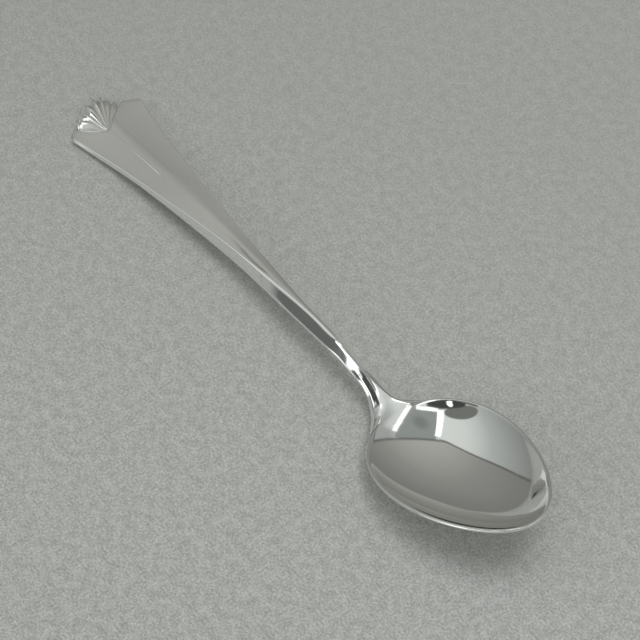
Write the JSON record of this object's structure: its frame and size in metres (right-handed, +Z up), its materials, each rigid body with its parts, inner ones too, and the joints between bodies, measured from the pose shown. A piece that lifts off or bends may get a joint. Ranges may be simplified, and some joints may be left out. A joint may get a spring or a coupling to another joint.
{
  "type": "demitasse spoon",
  "caption": "Small polished silver coffee spoon with an egg-shaped bowl, a ridged handle that flares to a blunt end, and a fluted shell ornament at its tip.",
  "frame": {"origin": "centre of the spoon's box, on the plane that it lies on", "axes": "+X along the spoon from the shell end to the bowl tip, +Y across it to the left seen from the handle, +Z up out of the bowl"},
  "size_m": [0.1137, 0.0232, 0.0122],
  "materials": {
    "bowl_silver": "mirror-polished silver with fine use scratches",
    "handle_silver": "polished silver, slightly softer than the bowl from handling",
    "shell_silver": "bright polished silver flutes, faintly darker in the grooves"
  },
  "bodies": {
    "root": {"bowl": "bowl_silver", "handle": "handle_silver", "shell_finial": "shell_silver"}
  },
  "joints": []
}
